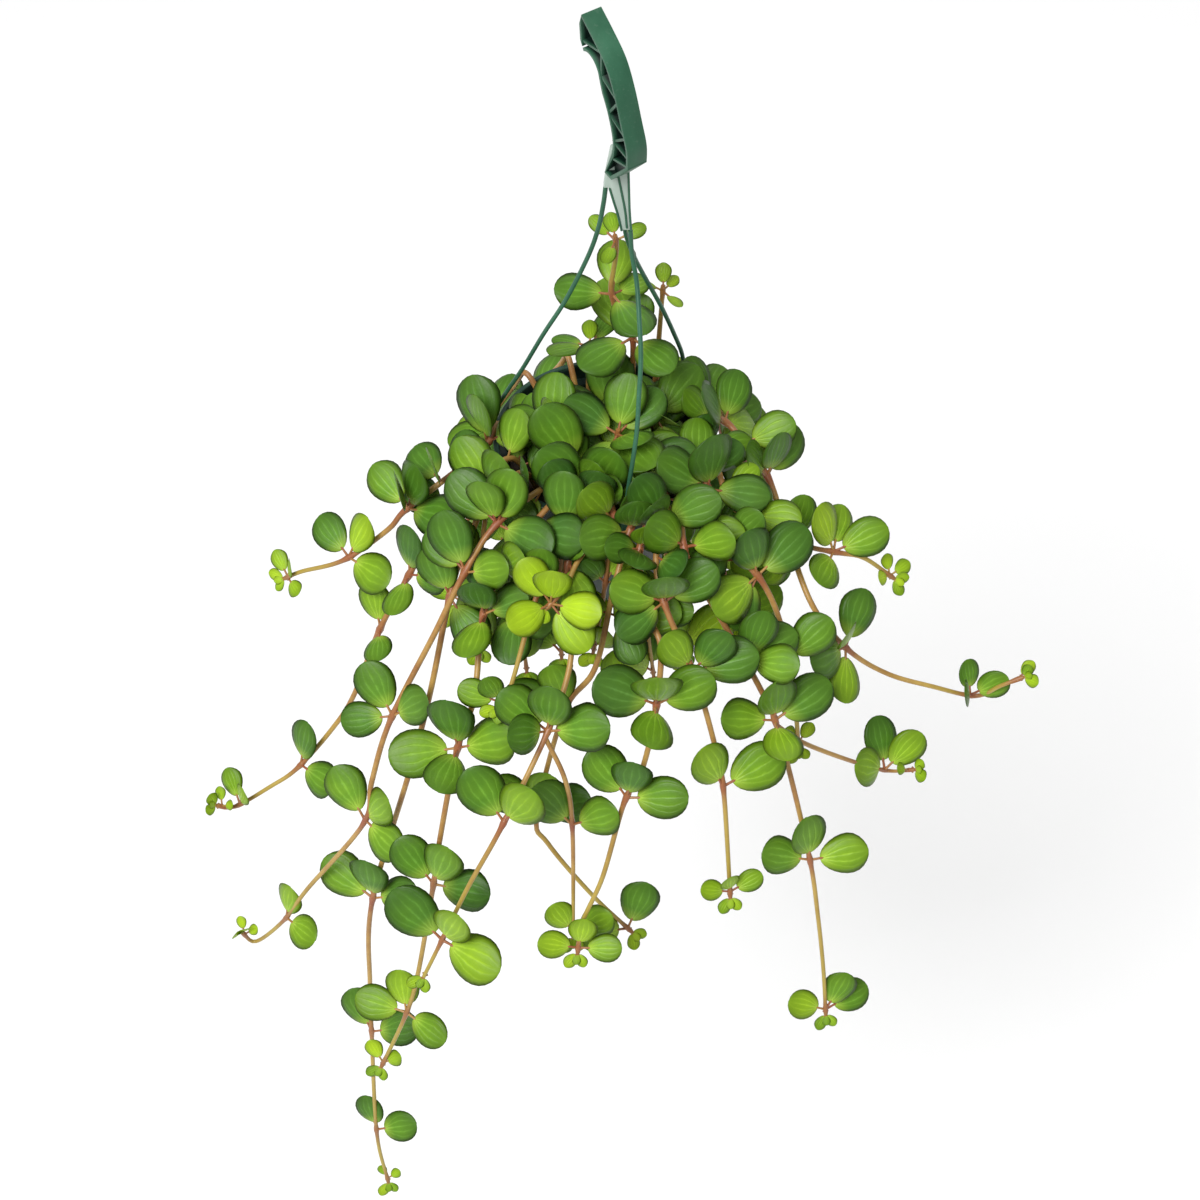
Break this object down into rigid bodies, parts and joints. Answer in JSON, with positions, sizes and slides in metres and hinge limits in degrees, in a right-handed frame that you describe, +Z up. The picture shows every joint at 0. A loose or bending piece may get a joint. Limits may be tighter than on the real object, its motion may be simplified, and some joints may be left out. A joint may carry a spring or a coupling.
{
  "type": "potted hope peperomia in a hanging pot",
  "caption": "Hanging nursery pot on a hook and three strands, with a trailing plant whose round leaves stand in whorls on long arching stems.",
  "frame": {"origin": "bearing point of the hook: the underside of its arch, where it sits on the rod or hook that it hangs from", "axes": "+Z up, along the way the part hangs; -Y towards the plant's front, and +X to the right as seen from the front"},
  "size_m": [0.5363, 0.4211, 0.8903],
  "materials": {
    "hanger_green": "semi-gloss moulded green plastic",
    "pot_green": "thin dark green plastic with a soft sheen",
    "soil": "moist dark potting mix of peat and bark",
    "foliage": "fleshy leaves with a waxy sheen and pale veins, on tan and reddish stems"
  },
  "bodies": {
    "root": {"hanger_hook": "hanger_green", "hanger_strand_left": "hanger_green", "hanger_strand_front": "hanger_green", "hanger_strand_back": "hanger_green", "pot": "pot_green", "soil": "soil", "stem_left_high": "foliage", "stem_left_low": "foliage", "stem_front_long": "foliage", "stem_front_left": "foliage", "stem_front_deep": "foliage", "stem_front_short": "foliage", "stem_front_middle": "foliage", "stem_front_bright": "foliage", "stem_front_curl": "foliage", "stem_right_knee": "foliage", "stem_right_front": "foliage", "stem_right_deep": "foliage", "stem_right_whorls": "foliage", "stem_right_high": "foliage", "stem_right_long": "foliage", "shoot_main": "foliage", "shoot_back": "foliage", "shoot_small": "foliage", "stem_back_1": "foliage", "stem_back_2": "foliage", "stem_back_3": "foliage", "stem_back_4": "foliage", "stem_back_5": "foliage", "stem_back_6": "foliage", "stem_back_7": "foliage", "stem_crown_1": "foliage", "stem_crown_2": "foliage", "stem_crown_3": "foliage", "stem_crown_4": "foliage", "stem_crown_5": "foliage", "stem_crown_6": "foliage", "stem_crown_7": "foliage", "stem_crown_8": "foliage"}
  },
  "joints": []
}
